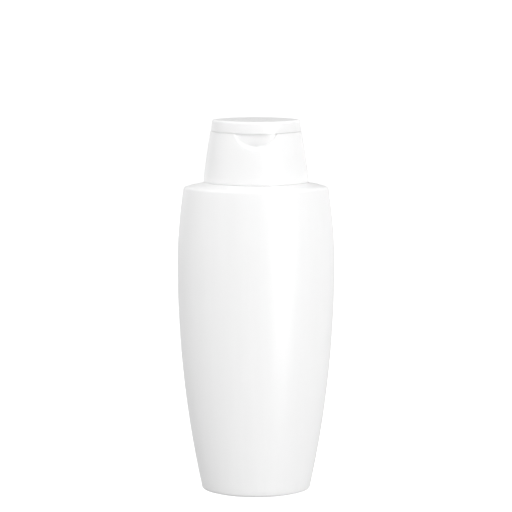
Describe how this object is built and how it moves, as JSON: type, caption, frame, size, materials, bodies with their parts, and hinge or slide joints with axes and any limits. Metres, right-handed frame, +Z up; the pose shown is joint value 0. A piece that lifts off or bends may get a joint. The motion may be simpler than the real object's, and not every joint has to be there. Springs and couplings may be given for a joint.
{
  "type": "shampoo bottle",
  "caption": "Oval shampoo bottle with a rounded shoulder and a snap-fit oval flip-top closure whose hinged lid has a thumb recess below its front edge.",
  "frame": {"origin": "centre of the footprint, on the plane that the bottle stands on", "axes": "+Z up along the bottle to the closure, -Y out of the broad front with the thumb recess, +Y out of the back with the hinge, X across the width"},
  "size_m": [0.0728, 0.0424, 0.175],
  "materials": {
    "white_hdpe": "satin, fine blow-moulded surface",
    "white_pp": "smooth semi-gloss, injection moulded",
    "pe_foam": "matt closed-cell foam"
  },
  "bodies": {
    "bottle": {"bottle_shell": "white_hdpe"},
    "closure": {"closure_base": "white_pp", "snap_collar": "white_pp", "sealing_gasket": "pe_foam", "hinge_web_left": "white_pp", "hinge_web_right": "white_pp", "hinge_spring_strap": "white_pp"},
    "lid": {"flip_lid": "white_pp"}
  },
  "joints": [
    {"name": "closure_pull_off", "type": "slide", "parent": "bottle", "child": "closure", "axis": [0, 0, 1], "range_m": [0, 0.02], "deforming": ["snap_collar"]},
    {"name": "lid_hinge", "type": "hinge", "parent": "closure", "child": "lid", "pos_m": [0, 0.01385, 0.16947], "axis": [-1, 0, 0], "range_deg": [0, 150], "deforming": ["hinge_web_left", "hinge_web_right", "hinge_spring_strap"]}
  ]
}
